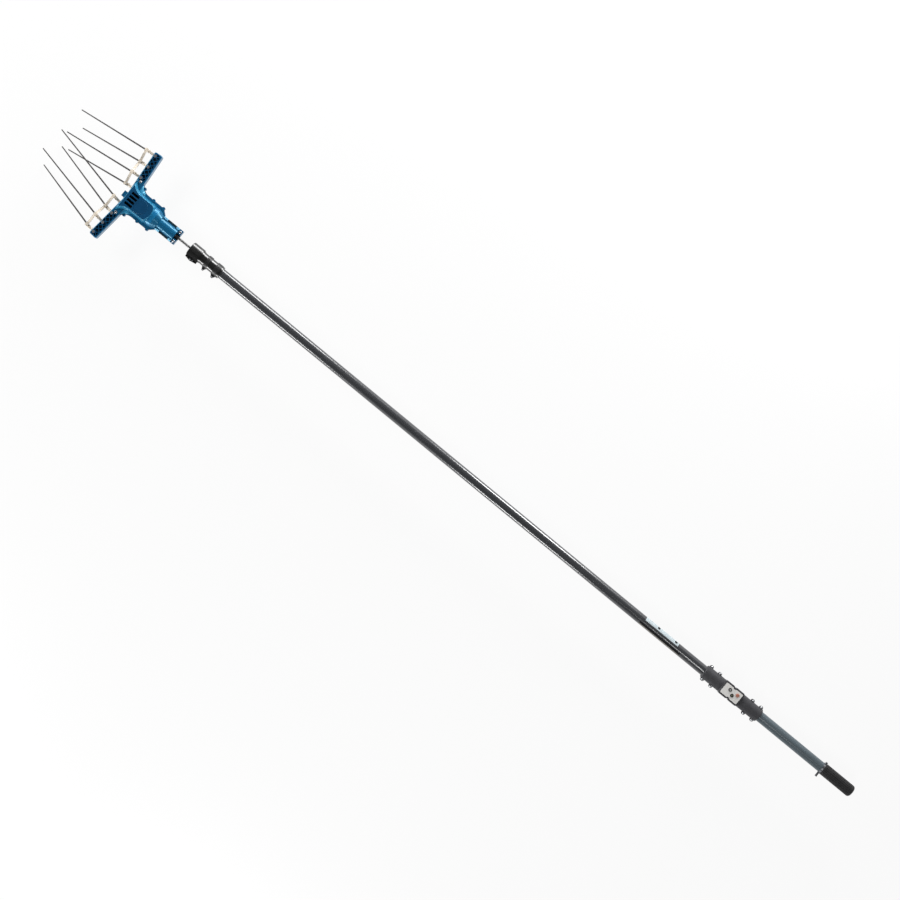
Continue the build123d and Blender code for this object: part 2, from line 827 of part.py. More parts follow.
def make_housing():
    outside = half_form()
    space = head_space()
    for boss in shoulder_bosses():
        space -= boss
    upper = outside - space
    lower = mirror(outside, about=Plane.XY) + link_bay() - space
    for hole in fastener_holes():
        upper -= hole
        lower -= hole
    cap_high = cover_height + cap_proud
    cap_low = cap_high - cap_thickness
    upper -= upright((0, motor_y), cap_radius + seat_gap, cap_low, cover_height)
    vents = Sketch()
    for index in range(vent_count):
        x = (index - (vent_count - 1) / 2) * vent_pitch
        vents += Pos(x, (vent_start + vent_end) / 2) * Rectangle(vent_width, vent_end - vent_start)
    upper -= Pos(0, 0, vent_floor) * extrude(vents, cover_height - vent_floor)
    notch = block((-bush_radius - free_gap, bush_radius + free_gap), (0, skirt_length), (0, skirt_height))
    upper -= notch
    save("upper_housing", HEAD * upper)
    save("lower_housing", HEAD * lower)

    cap = upright((0, motor_y), cap_radius, cap_low, cap_high)
    cap = chamfer(cap.edges().group_by(Axis.Z)[-1], cap_edge)
    save("round_cap", HEAD * cap)
    rim_length = rim_ear_height * 2 - split_wall * 2
    arm_screw = arm_height * 2 - split_wall * 2
    skirt_screw = skirt_height * 2 - split_wall * 2
    screws = [screw(spot, -rim_ear_height, rim_length, housing_screw_radius, housing_screw_head, -1)
              for spot in rim_spots]
    screws += [screw(spot, arm_height, arm_screw, housing_screw_radius, housing_screw_head)
               for spot in shoulder_spots]
    screws += [screw(spot, skirt_height, skirt_screw, housing_screw_radius, housing_screw_head)
               for spot in socket_screw_spots]
    save("housing_screws", HEAD * Compound(screws))
    bush = pipe(bush_radius, neck_radius + seat_gap, 0, bush_length)
    save("neck_bush", HEAD * bush)


# Fingers, rods and links


def make_finger(number):
    pivot = finger_pivot(number)
    spot = (pivot.X, pivot.Y)
    joint = finger_junction(number)
    aim = rod_direction(number)
    reach = joint - pivot
    lean = swing_now - finger_side(number) * post_cant
    frame = Plane(origin=pivot, x_dir=plan(1, lean + 90), z_dir=reach)
    finger = upright(spot, hub_radius, -hub_half, hub_half)
    finger += frame * Pos(0, 0, reach.length / 2) * Box(post_width, post_height, reach.length)
    finger += along(joint, aim, -barrel_back, barrel_front, barrel_radius)
    stub_top = joint.Z + link_lift + link_thickness + free_gap
    eye = (joint.X, joint.Y)
    finger += upright(eye, stub_radius, joint.Z, stub_top)
    finger += upright(eye, stub_radius + stub_head, stub_top, stub_top + stub_head_height)
    if number in inner_fingers:
        finger += finger_tail(number)
    finger -= upright(spot, pin_radius + running_gap, -hub_half, hub_half)
    finger -= along(joint, aim, -rod_depth, barrel_front, rod_radius + seat_gap)
    save(f"finger_{number}", HEAD * finger)


def along(origin, aim, start, end, radius):
    """Cylinder on a slanting line, from start to end."""
    return Plane(origin=origin, z_dir=aim) * Pos(0, 0, (start + end) / 2) * Cylinder(radius, end - start)


def finger_tail(number):
    """Lever behind the pivot with the pin that the cross link turns on."""
    pivot = finger_pivot(number)
    pin = tail_pin(number)
    spot = (pin.X, pin.Y)
    low = tail_high - tail_thickness
    half = tail_width / 2
    bar = block((-half, half), (-tail_radius, 0), (low, tail_high))
    lever = Pos(pivot.X, pivot.Y) * Rot(0, 0, -swing_now) * bar
    lever += upright(spot, half, low, tail_high)
    top = cross_low + cross_thickness + free_gap
    lever += upright(spot, stub_radius, tail_high, top)
    return lever + upright(spot, stub_radius + stub_head, top, top + stub_head_height)


def make_rod(number):
    reach = rod_reach[0] if finger_side(number) < 0 else rod_reach[1]
    length = rod_depth + reach
    frame = Plane(origin=finger_junction(number), z_dir=rod_direction(number))
    rod = Pos(0, 0, length / 2 - rod_depth) * Cone(rod_radius, rod_tip_radius, length)
    rod = chamfer(rod.edges().group_by(Axis.Z)[-1], rod_tip_radius / 2)
    save(f"rod_{number}", HEAD * (frame * rod))


def make_link_bar(name, numbers):
    """Bar that ties the fingers of one comb, stepping between the raised and the lowered ones."""
    joints = [finger_junction(number) for number in numbers]
    origin = Vector(joints[0].X, joints[0].Y, 0)
    run = Vector(joints[-1].X, joints[-1].Y, 0) - origin
    across = run.normalized()
    pitch = run.length / (len(joints) - 1)
    lower_edge = []
    for index, joint in enumerate(joints):
        for step in (-link_eye_radius, link_eye_radius):
            lower_edge.append((index * pitch + step, joint.Z + link_lift))
    upper_edge = [(x, z + link_thickness) for x, z in reversed(lower_edge)]
    frame = Plane(origin=origin, x_dir=across, z_dir=across.cross(Vector(0, 0, 1)))
    strip = frame * make_face(Polyline(*lower_edge, *upper_edge, close=True))
    bar = extrude(strip, link_width / 2, both=True)
    for joint in joints:
        low = joint.Z + link_lift
        bar += upright((joint.X, joint.Y), link_eye_radius, low, low + link_thickness)
    for joint in joints:
        low = joint.Z + link_lift
        bar -= upright((joint.X, joint.Y), stub_radius + running_gap, low, low + link_thickness)
    save(name, HEAD * bar)


def make_cross_link():
    left, right = (tail_pin(number) for number in inner_fingers)
    middle = (left + right) / 2
    outline = SlotCenterToCenter((right - left).length, cross_eye_radius * 2)
    outline += Rectangle(yoke_width, yoke_half_length * 2)
    outline -= Rot(0, 0, 90) * SlotOverall(yoke_slot_half * 2, (crank_pin_radius + running_gap) * 2)
    for pin in (left, right):
        outline -= Pos(pin.X - middle.X, pin.Y - middle.Y) * Circle(stub_radius + running_gap)
    link = Pos(middle.X, middle.Y, cross_low) * extrude(outline, cross_thickness)
    save("cross_link", HEAD * link)


def make_combs():
    numbers = range(1, finger_count + 1)
    for number in numbers:
        make_finger(number)
        make_rod(number)
    half = finger_count // 2
    make_link_bar("left_link_bar", list(numbers)[:half])
    make_link_bar("right_link_bar", list(numbers)[half:])
    make_cross_link()
    pins = []
    for number in numbers:
        pivot = finger_pivot(number)
        spot = (pivot.X, pivot.Y)
        pin = upright(spot, pin_radius, -pin_low, pin_top(number))
        if number not in inner_fingers:
            pin += upright(spot, pin_head_radius, arm_height, arm_height + pin_head_height)
        pins.append(pin)
    save("finger_pins", HEAD * Compound(pins))


# Motor, gears and crank


def gear_face(teeth, turn):
    """Spur gear outline with involute flanks. With no turn a tooth is centred on +Y."""
    pitch = gear_module * teeth / 2
    base = pitch * math.cos(radians_of(pressure_angle))
    root = pitch - gear_module * gear_dedendum
    tip = pitch + gear_module * gear_addendum
    half_pitch = math.pi / (2 * teeth) - gear_backlash / (4 * pitch)
    involute_pitch = math.tan(radians_of(pressure_angle)) - radians_of(pressure_angle)
    low = max(base, root)
    flank = []
    for radius in (low, (low + tip) / 2, tip):
        angle = math.acos(base / radius)
        flank.append((radius, half_pitch + involute_pitch - (math.tan(angle) - angle)))
    if root < low:
        flank.insert(0, (root, flank[0][1]))
    points = []
    for tooth in range(teeth):
        middle = math.pi / 2 + radians_of(turn) + 2 * math.pi * tooth / teeth
        for radius, half in flank:
            points.append((radius * math.cos(middle - half), radius * math.sin(middle - half)))
        for radius, half in reversed(flank):
            points.append((radius * math.cos(middle + half), radius * math.sin(middle + half)))
    return make_face(Polyline(*points, close=True))


def make_motor():
    centre = (0, motor_y)
    plate = upright(centre, motor_plate_radius, 0, motor_plate_thickness)
    kept = (motor_y - motor_base_radius, motor_y + motor_plate_end)
    plate &= block((-motor_radius * 2, motor_radius * 2), kept, (0, motor_plate_thickness))
    plate -= upright(centre, motor_boss_radius, 0, motor_plate_thickness)
    save("motor_plate", HEAD * plate)

    base_high = motor_plate_thickness + motor_base_thickness
    stator = upright(centre, motor_base_radius, motor_plate_thickness, base_high)
    stator += upright(centre, motor_boss_radius, motor_plate_thickness, stator_high)
    poles = Circle(stator_core_radius)
    for index in range(stator_pole_count):
        turn = Rot(0, 0, index * 360 / stator_pole_count)
        stem = stator_radius - stator_shoe_depth / 2
        poles += turn * Pos(0, stem / 2) * Rectangle(stator_pole_width, stem)
        shoe = stator_radius - stator_shoe_depth
        poles += turn * Pos(0, shoe) * Rectangle(stator_shoe_width, stator_shoe_depth)
    poles &= Circle(stator_radius)
    stator += Pos(0, motor_y, stator_low) * extrude(poles, stator_high - stator_low)
    rear = motor_y - terminal_rear
    edge = motor_y - motor_base_radius - free_gap
    stator += block((-terminal_half, terminal_half), (rear, edge), (-terminal_low, base_high))
    stator += block((-terminal_half, terminal_half), (rear, motor_y - motor_base_radius / 2),
                    (motor_plate_thickness, base_high))
    stator -= upright(centre, motor_bearing_radius + seat_gap, motor_plate_thickness, stator_high)
    save("motor_stator", HEAD * stator)
    bearings = []
    for low in (motor_plate_thickness, stator_high - motor_bearing_width):
        high = low + motor_bearing_width
        ring = upright(centre, motor_bearing_radius, low, high)
        bearings.append(ring - upright(centre, motor_shaft_radius + running_gap, low, high))
    save("motor_bearings", HEAD * Compound(bearings))

    bell = upright(centre, motor_radius, bell_low, bell_top)
    bell -= upright(centre, motor_radius - bell_wall, bell_low, bell_top - bell_plate)
    bell += upright(centre, motor_shaft_radius, gear_low - pinion_overlap, bell_top)
    save("motor_rotor", HEAD * bell)
    pinion = Pos(0, motor_y, gear_low - pinion_overlap) * extrude(
        gear_face(pinion_teeth, 0), gear_thickness + 2 * pinion_overlap)
    pinion -= upright(centre, motor_shaft_radius + seat_gap, gear_low - pinion_overlap, 0)
    save("pinion", HEAD * pinion)


def make_drive():
    centre = (0, crank_y)
    gear_high = gear_low + gear_thickness
    gear = Pos(0, crank_y, gear_low) * extrude(gear_face(gear_teeth, 180 / gear_teeth), gear_thickness)
    rim = gear_module * (gear_teeth / 2 - gear_dedendum) - gear_web
    recess = upright(centre, rim, gear_low + gear_web, gear_high) - upright(
        centre, gear_hub_radius, gear_low + gear_web, gear_high)
    gear -= recess
    for index in range(gear_hole_count):
        hole = Rot(0, 0, index * 360 / gear_hole_count) * Pos((rim + gear_hub_radius) / 2, 0)
        gear -= Pos(0, crank_y, gear_low) * hole * Cylinder(gear_hole_radius, gear_thickness)
    gear -= upright(centre, crank_shaft_radius + seat_gap, gear_low, gear_high)
    save("reduction_gear", HEAD * gear)

    disc_low = carrier_high + free_gap
    disc_high = disc_low + crank_disc_thickness
    crank = upright(centre, crank_shaft_radius, gear_well_low - bearing_width, disc_low)
    crank += upright(centre, crank_disc_radius, disc_low, disc_high)
    crank += upright(crank_pin, crank_pin_radius, disc_high, cross_low - free_gap)
    save("crank", HEAD * crank)

    carrier = upright(centre, carrier_radius, carrier_low, carrier_high)
    carrier -= upright(centre, bearing_radius + seat_gap, carrier_low, carrier_high)
    carrier -= upright((0, motor_y), pinion_outer + gear_well_gap, carrier_low, carrier_high)
    save("bearing_plate", HEAD * carrier)
    bearings = []
    for low, high in ((gear_well_low - bearing_width, gear_well_low), (carrier_low, carrier_high)):
        ring = upright(centre, bearing_radius, low, high)
        bearings.append(ring - upright(centre, crank_shaft_radius + running_gap, low, high))
    save("crank_bearings", HEAD * Compound(bearings))


os.makedirs("parts", exist_ok=True)
make_pole()
make_grip()
make_clamps()
make_handle()
make_housing()
make_combs()
make_motor()
make_drive()
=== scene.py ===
import math

import bmesh
import bpy
from mathutils import Matrix, Vector


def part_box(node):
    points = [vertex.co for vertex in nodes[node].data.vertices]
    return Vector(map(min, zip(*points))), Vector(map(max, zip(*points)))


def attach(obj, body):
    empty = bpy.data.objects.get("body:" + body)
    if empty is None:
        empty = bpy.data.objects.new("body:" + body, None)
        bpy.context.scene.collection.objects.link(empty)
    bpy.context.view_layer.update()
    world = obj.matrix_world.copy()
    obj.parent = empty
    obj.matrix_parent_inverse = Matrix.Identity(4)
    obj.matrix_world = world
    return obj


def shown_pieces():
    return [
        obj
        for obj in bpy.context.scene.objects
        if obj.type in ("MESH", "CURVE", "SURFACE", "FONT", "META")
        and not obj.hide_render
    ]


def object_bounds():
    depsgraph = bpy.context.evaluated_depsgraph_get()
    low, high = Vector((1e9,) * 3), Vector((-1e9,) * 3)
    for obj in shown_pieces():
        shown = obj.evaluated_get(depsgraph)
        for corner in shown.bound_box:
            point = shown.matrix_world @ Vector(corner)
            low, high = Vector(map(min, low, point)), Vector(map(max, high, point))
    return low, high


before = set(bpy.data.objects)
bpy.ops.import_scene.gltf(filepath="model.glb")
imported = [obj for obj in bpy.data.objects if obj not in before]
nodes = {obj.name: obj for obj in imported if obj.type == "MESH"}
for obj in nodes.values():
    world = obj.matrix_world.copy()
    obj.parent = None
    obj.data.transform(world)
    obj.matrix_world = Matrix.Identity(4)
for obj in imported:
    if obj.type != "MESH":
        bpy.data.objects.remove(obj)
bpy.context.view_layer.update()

# Sizes in metres, in the frame of the part: Y along the pole towards the rods, Z out of the
# head's face. Places along the head count from the mouth of its socket.
MM = 0.001
BODY = "pole_and_head"
FINGER_COUNT = 8
TUBE_RADIUS = 15 * MM
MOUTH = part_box("neck_bush")[0].y

# Levels and places on the head that take painted shade or painted highlights, and on the collar
# that take a second finish
COVER_LEVEL = 26 * MM
ARM_LEVEL = 14.9 * MM
POCKET_LEVEL = 11 * MM
FLANGE_LEVEL = 4 * MM
SLOPE_LEVEL = 12 * MM
SLOPE_START = 95 * MM
HOOD_AXIS = -6 * MM
HOOD_RADIUS = 31.5 * MM
HOOD_SLACK = 0.6 * MM
ARM_START = 57 * MM
VENT_HALF = 21 * MM
VENT_REAR = 151 * MM
VENT_FRONT = 178 * MM
SOCKET_LENGTH = 67 * MM
SOCKET_HALF = 24 * MM
LUG_SIDE = -4 * MM
LEVEL_SLACK = 0.3 * MM

# Upward part of a face's normal: the least on a flat face, and the limits on a slope
FLAT_NORMAL = 0.95
SLOPE_NORMALS = (0.15, 0.93)

# Sloping shoulders between the body and the arms. Each line is an arc about a point beside the
# head, in mm from the axis and from the socket's mouth. It turns from the side of the body to the
# arm, in degrees, and rises above the base by so many mm. A shoulder starts at the least share of
# its height and is fully grown after a share of its length.
SHOULDER_LINES = (
    {"middle": (70.9, 140), "radius": 33.6, "turn": 61.4, "rise": 2.1},
    {"middle": (70.9, 140), "radius": 40.4, "turn": 44.5, "rise": 8.3},
    {"middle": (73.6, 146), "radius": 46.4, "turn": 28.0, "rise": 11.0},
)
SHOULDER_BASE = 3 * MM
SHOULDER_STEPS = 24
SHOULDER_GROWN = 0.6
SHOULDER_LEAST = 0.02

# Blank strips on the upper tube: the angles are in degrees from the top of the tube towards +X.
DARK_STRIP = {"span": (0.567, 0.711), "angles": (-47, -22)}
BEIGE_STRIP = {"span": (0.567, 0.711), "angles": (-61, -54)}
WHITE_STRIP = {"span": (0.585, 0.7014), "angles": (20, 86)}
WHITE_STRIP_DOTS = (0.5947, 0.6563)
DOT_ANGLE = 54
DOT_RADIUS = 4.5 * MM
DOT_LIFT = 1.5
DOT_BLUNTNESS = 0.01
STRIP_THICKNESS = 0.15 * MM
PATCH_STEPS = 16

# Recesses of the screws, drawn as flat dark sheets of painted shade
CROSS_SCREWS = ("handle_screws", "housing_screws")
HEX_SCREWS = ("collar_screws", "sleeve_screws")
HEX_SIDES = 6
RECESS_SHARE = 0.55
RECESS_WIDTH = 0.9 * MM
RECESS_SINK = 0.04 * MM
RECESS_TURN = math.radians(30)
WELD = 1e-6

SHARP_ANGLE = math.radians(35)

# Camera: a straight look down on the face, with the pole across the picture from corner to corner
CAMERA_SPOT = Vector((0.0252, 1.425, 6.1))
POLE_ANGLE = math.radians(140.55)
FRAME_WIDTH = 2.52
CLIP_END = 100

# Light: a pale horizon under a dark ceiling, as (sine of the elevation, level), dimmer on the left
# over a span of directions, and low lamps at both sides. Powers are by side, -1 for the left.
SKY_LEVELS = ((0.0, 1.0), (0.3, 1.0), (0.6, 0.12), (1.0, 0.12))
LEFT_SKY = 0.5
LEFT_SKY_SPAN = (-0.6, 0.2)
LAMP_AWAY = 2.0
HEAD_LAMPS = {"middle": 2.5, "length": 1.0, "powers": {-1: 20.3, 1: 33.4}}
POLE_LAMPS = {"middle": 1.06, "length": 0.56, "powers": {-1: 12.0, 1: 29.9}}
LEFT_LAMPS = {"side": -1, "height": 0.14, "tall": 0.28}
RIGHT_LAMPS = {"side": 1, "height": 0.42, "tall": 0.8}
HANDLE_LAMP = {"spot": (-0.95, 0.0, 2.4), "aim": (0, 0.35, 0), "size": (0.22, 0.9), "power": 11}
FRONT_LAMP = {"spot": (0, 4.6, 1.6), "aim": (0, 2.6, 0), "size": (1.6, 0.8), "power": 42}

# Floor: to the camera a share of it is plain white, and the rest takes a faint shadow.
FLOOR_DROP = 0.5 * MM
FLOOR_SIZE = 30
FLOOR_COLOUR = (0.9, 0.9, 0.9, 1)
FLOOR_ROUGH = 0.9
FLOOR_SHOWN = 0.9


# Materials

# Noises: scales count features for a metre, and most values of a noise lie in its span.
NOISE_SPAN = (0.3, 0.7)
MOTTLE_SCALE = 45
WEAR_SCALE = 160
WEAR_DETAIL = 5
STREAK_SCALE = 900
STREAK_DETAIL = 4
FIBRE_SCALE = 2500
FIBRE_DETAIL = 2
FROST_SCALE = 1500
GRAIN_STRENGTH = 0.4

# Lowest and highest roughness, as shares of the written one on moulded and drawn pieces
MOULDED_ROUGH = (0.85, 1.2)
DRAWN_ROUGH = (0.8, 1.25)
FIBRE_ROUGH = (0.32, 0.5)
FROST_ROUGH = (0.08, 0.2)

PALE_CYAN = (0.32, 0.8, 1.0)
FIBRE_COLOURS = ((0.028, 0.026, 0.026), (0.06, 0.056, 0.055))
FIBRE_STRETCH = (1, 0.03, 1)
FIBRE_DEPTH = 0.02 * MM
FROST_SPREAD = 0.1
LENS_CLEARNESS = 0.1


def node_tree(name):
    """New material with its shader, as (material, nodes, links, shader)."""
    material = bpy.data.materials.new(name)
    material.use_nodes = True
    tree = material.node_tree
    return material, tree.nodes, tree.links, tree.nodes["Principled BSDF"]


def noise(tree, links, scale, detail=3.0, stretch=(1, 1, 1)):
    """Noise in the frame's own coordinates, so that it is as large on every piece."""
    place = tree.new("ShaderNodeTexCoord")
    mapping = tree.new("ShaderNodeMapping")
    mapping.inputs["Scale"].default_value = stretch
    texture = tree.new("ShaderNodeTexNoise")
    texture.inputs["Scale"].default_value = scale
    texture.inputs["Detail"].default_value = detail
    links.new(place.outputs["Object"], mapping.inputs["Vector"])
    links.new(mapping.outputs["Vector"], texture.inputs["Vector"])
    return texture.outputs["Fac"]


def between(tree, links, factor, low, high):
    """Value that follows a noise from low to high."""
    remap = tree.new("ShaderNodeMapRange")
    remap.inputs["From Min"].default_value = NOISE_SPAN[0]
    remap.inputs["From Max"].default_value = NOISE_SPAN[1]
    remap.inputs["To Min"].default_value = low
    remap.inputs["To Max"].default_value = high
    links.new(factor, remap.inputs["Value"])
    return remap.outputs["Result"]


def tint(tree, links, factor, dark, light):
    """Colour that follows a noise from dark to light."""
    ramp = tree.new("ShaderNodeValToRGB")
    for element, position, colour in zip(ramp.color_ramp.elements, NOISE_SPAN, (dark, light)):
        element.position = position
        element.color = (*colour, 1)
    links.new(factor, ramp.inputs["Fac"])
    return ramp.outputs["Color"]


def grain(tree, links, shader, factor, depth):
    """Fine relief from a noise, as deep as the depth in metres."""
    bump = tree.new("ShaderNodeBump")
    bump.inputs["Strength"].default_value = GRAIN_STRENGTH
    bump.inputs["Distance"].default_value = depth
    links.new(factor, bump.inputs["Height"])
    links.new(bump.outputs["Normal"], shader.inputs["Normal"])


def shades(colour, spread):
    """The colour a little darker and a little lighter."""
    dark = tuple(c * (1 - spread) for c in colour)
    light = tuple(min(1, c * (1 + spread)) for c in colour)
    return dark, light


def roughs(rough, shares):
    """Lowest and highest roughness about the written one."""
    return rough * shares[0], rough * shares[1]


def moulded(name, colour, rough, spread=0.08, grain_size=900, depth=0.05 * MM, shine=0.5,
            gloss=(1, 1, 1)):
    """Moulded plastic or rubber: faint mottle, uneven gloss and a fine moulded grain."""
    material, tree, links, shader = node_tree(name)
    mottle = noise(tree, links, MOTTLE_SCALE)
    base = tint(tree, links, mottle, *shades(colour, spread))
    links.new(base, shader.inputs["Base Color"])
    wear = noise(tree, links, WEAR_SCALE, detail=WEAR_DETAIL)
    dullness = between(tree, links, wear, *roughs(rough, MOULDED_ROUGH))
    links.new(dullness, shader.inputs["Roughness"])
    grain(tree, links, shader, noise(tree, links, grain_size), depth)
    shader.inputs["Specular IOR Level"].default_value = shine
    shader.inputs["Specular Tint"].default_value = (*gloss, 1)
    return material


def head_blue(name, colour, rough, depth, shine):
    """Blue plastic of the head, with a pale cyan gloss."""
    return moulded(name, colour, rough, depth=depth, shine=shine, gloss=PALE_CYAN)


def drawn(name, colour, rough, metallic=1.0, spread=0.12, along=(1, 0.02, 1), shine=0.5,
          depth=0.01 * MM):
    """Drawn or brushed metal, bare or anodised, with streaks along one direction."""
    material, tree, links, shader = node_tree(name)
    streaks = noise(tree, links, STREAK_SCALE, detail=STREAK_DETAIL, stretch=along)
    base = tint(tree, links, streaks, *shades(colour, spread))
    links.new(base, shader.inputs["Base Color"])
    dullness = between(tree, links, streaks, *roughs(rough, DRAWN_ROUGH))
    links.new(dullness, shader.inputs["Roughness"])
    grain(tree, links, shader, streaks, depth)
    shader.inputs["Metallic"].default_value = metallic
    shader.inputs["Specular IOR Level"].default_value = shine
    return material


def carbon_fibre(name):
    """Pulled carbon rod: long fibres under a thin satin resin."""
    material, tree, links, shader = node_tree(name)
    fibres = noise(tree, links, FIBRE_SCALE, detail=FIBRE_DETAIL, stretch=FIBRE_STRETCH)
    links.new(tint(tree, links, fibres, *FIBRE_COLOURS), shader.inputs["Base Color"])
    links.new(between(tree, links, fibres, *FIBRE_ROUGH), shader.inputs["Roughness"])
    grain(tree, links, shader, fibres, FIBRE_DEPTH)
    return material


def clear_lens(name, colour):
    """Tinted lens of an indicator lamp with a faintly frosted inside."""
    material, tree, links, shader = node_tree(name)
    frost = noise(tree, links, FROST_SCALE)
    base = tint(tree, links, frost, *shades(colour, FROST_SPREAD))
    links.new(base, shader.inputs["Base Color"])
    links.new(between(tree, links, frost, *FROST_ROUGH), shader.inputs["Roughness"])
    shader.inputs["Transmission Weight"].default_value = LENS_CLEARNESS
    return material


HOUSING_BLUE = head_blue("housing_blue", (0.007, 0.100, 0.218), 0.24, 0.02 * MM, 0.7)
# Darker, duller copy of the housing blue: painted shade on the flat faces that face up
FLAT_SHADE_BLUE = head_blue("flat_shade_blue", (0.005, 0.058, 0.146), 0.42, 0.04 * MM, 0.25)
# Lighter copy of the housing blue: painted highlight on the sloping sides and shoulders
SLOPE_HIGHLIGHT_BLUE = head_blue("slope_highlight_blue", (0.020, 0.190, 0.345), 0.24, 0.02 * MM, 0.75)
# Lighter copy of the housing blue: painted highlight on the round hood
HOOD_HIGHLIGHT_BLUE = head_blue("hood_highlight_blue", (0.009, 0.140, 0.310), 0.24, 0.02 * MM, 0.7)
# Darker blue of the flat round cap: painted shade, as on the other flat faces
CAP_SHADE_BLUE = head_blue("cap_blue", (0.005, 0.050, 0.128), 0.36, 0.04 * MM, 0.3)
# Near-black blue: painted shade in the lattice pockets and cooling slots
POCKET_SHADE = moulded("pocket_shade", (0.002, 0.008, 0.018), 0.6, shine=0.1)
# Dark copy of the housing blue: painted shade on the low strips beside the socket
FLANGE_SHADE = moulded("flange_shade", (0.007, 0.034, 0.052), 0.5, shine=0.2)
CREAM = moulded("cream_plastic", (0.80, 0.715, 0.60), 0.5, spread=0.04, depth=0.02 * MM,
                shine=0.3)
CARBON = carbon_fibre("carbon_rod")
RUBBER = moulded("black_rubber", (0.020, 0.020, 0.021), 0.6, spread=0.2, grain_size=1800,
                 shine=0.4)
GLOSS_BLACK = moulded("gloss_black", (0.007, 0.007, 0.007), 0.22, spread=0.2, depth=0.01 * MM,
                      shine=1.0)
COLLAR_BLACK = moulded("collar_black", (0.007, 0.007, 0.007), 0.28, spread=0.2, depth=0.01 * MM,
                       shine=1.0)
MATTE_BLACK = moulded("matte_black", (0.010, 0.010, 0.010), 0.7, spread=0.2, shine=0.08)
SATIN_BLACK = moulded("satin_black", (0.012, 0.012, 0.013), 0.4, spread=0.2)
CHARCOAL = moulded("charcoal", (0.070, 0.070, 0.076), 0.45, spread=0.12, grain_size=1400,
                   shine=0.12)
PANEL_WHITE = moulded("panel_white", (0.90, 0.89, 0.86), 0.4, spread=0.03, depth=0.01 * MM)
BUTTON_RED = moulded("button_red", (0.48, 0.19, 0.13), 0.35, depth=0.01 * MM)
BOARD_GREEN = moulded("board_green", (0.02, 0.14, 0.06), 0.4)
WIRE_BLACK = moulded("wire_black", (0.015, 0.015, 0.015), 0.55)
GEAR_PLASTIC = moulded("gear_plastic", (0.6, 0.6, 0.56), 0.45)
UPPER_TUBE = drawn("graphite_tube", (0.048, 0.050, 0.055), 0.18, metallic=0.0, shine=0.9,
                   depth=0.002 * MM)
LOWER_TUBE = drawn("grey_tube", (0.112, 0.141, 0.160), 0.25, metallic=0.0, shine=0.3,
                   depth=0.002 * MM)
STEEL = drawn("zinc_steel", (0.28, 0.29, 0.31), 0.4, along=(1, 1, 1))
DARK_STEEL = drawn("dark_steel", (0.16, 0.165, 0.175), 0.35, along=(1, 1, 1))
BRIGHT_STEEL = drawn("bright_steel", (0.55, 0.56, 0.58), 0.3, along=(1, 1, 1))
NECK_STEEL = drawn("neck_steel", (0.14, 0.14, 0.14), 0.32, metallic=0.3)
ALLOY = drawn("plate_alloy", (0.6, 0.6, 0.62), 0.4)
IRON = drawn("core_iron", (0.2, 0.19, 0.19), 0.5, along=(1, 1, 0.05))
CLEAR_LENS = clear_lens("clear_lens", (0.92, 0.94, 0.90))
OLIVE_LENS = clear_lens("olive_lens", (0.30, 0.33, 0.20))
STRIP_DARK = moulded("strip_dark", (0.010, 0.010, 0.011), 0.6, depth=0.01 * MM, shine=0.1)
STRIP_BEIGE = moulded("strip_beige", (0.30, 0.27, 0.22), 0.4, depth=0.01 * MM)
STRIP_WHITE = moulded("strip_white", (0.46, 0.53, 0.56), 0.45, spread=0.03, depth=0.01 * MM)
# Near-black: painted shade on flat sheets in place of the screw recesses
RECESS_SHADE = moulded("screw_recess_shade", (0.02, 0.02, 0.02), 0.6)


def numbered(stem):
    """Names of the nodes that each finger has one of."""
    return tuple(f"{stem}_{number + 1}" for number in range(FINGER_COUNT))


FINISHES = {
    HOUSING_BLUE: ("upper_housing", "lower_housing"),
    # The round cap takes a darker blue as painted shade
    CAP_SHADE_BLUE: ("round_cap",),
    DARK_STEEL: ("collar_screws", "sleeve_screws"),
    BRIGHT_STEEL: ("handle_screws", "housing_screws", "finger_pins"),
    STEEL: ("grip_clip", "motor_rotor", "pinion", "crank", "cross_link", "motor_bearings",
            "crank_bearings"),
    NECK_STEEL: ("neck_tube",),
    RUBBER: ("neck_bush", "grip"),
    COLLAR_BLACK: ("collar",),
    GLOSS_BLACK: ("clamp_sleeve",),
    SATIN_BLACK: ("sleeve_bands", "neck_plug", "lamp_bezels", "push_switch", "supply_jack"),
    UPPER_TUBE: ("upper_tube",),
    LOWER_TUBE: ("lower_tube",),
    CHARCOAL: ("handle_front", "handle_rear"),
    PANEL_WHITE: ("control_panel",),
    CLEAR_LENS: ("indicator_lamps",),
    BUTTON_RED: ("power_button",),
    BOARD_GREEN: ("circuit_board",),
    WIRE_BLACK: ("motor_cable", "supply_lead"),
    GEAR_PLASTIC: ("reduction_gear",),
    ALLOY: ("tube_joint", "motor_plate", "bearing_plate"),
    IRON: ("motor_stator",),
    CREAM: ("left_link_bar", "right_link_bar", *numbered("finger")),
    CARBON: numbered("rod"),
}


def paint(obj, material):
    """One finish all over."""
    obj.data.materials.clear()
    obj.data.materials.append(material)


def paint_where(node, material, chosen):
    """Second finish, painted shade or painted highlight on those faces of a node that a test
    chooses by their middle and normal.
    """
    mesh = nodes[node].data
    mesh.materials.append(material)
    for polygon in mesh.polygons:
        if chosen(polygon.center, polygon.normal):
            polygon.material_index = len(mesh.materials) - 1


def looks_up(normal):
    """True for a face that lies flat and faces the camera."""
    return normal.z > FLAT_NORMAL


def near(value, level):
    """True at a level, within its slack."""
    return abs(value - level) < LEVEL_SLACK


def in_vents(middle):
    """True in the cooling slots of the cover, below its face."""
    along = middle.y - MOUTH
    within = abs(middle.x) < VENT_HALF and VENT_REAR < along < VENT_FRONT
    return within and middle.z < COVER_LEVEL


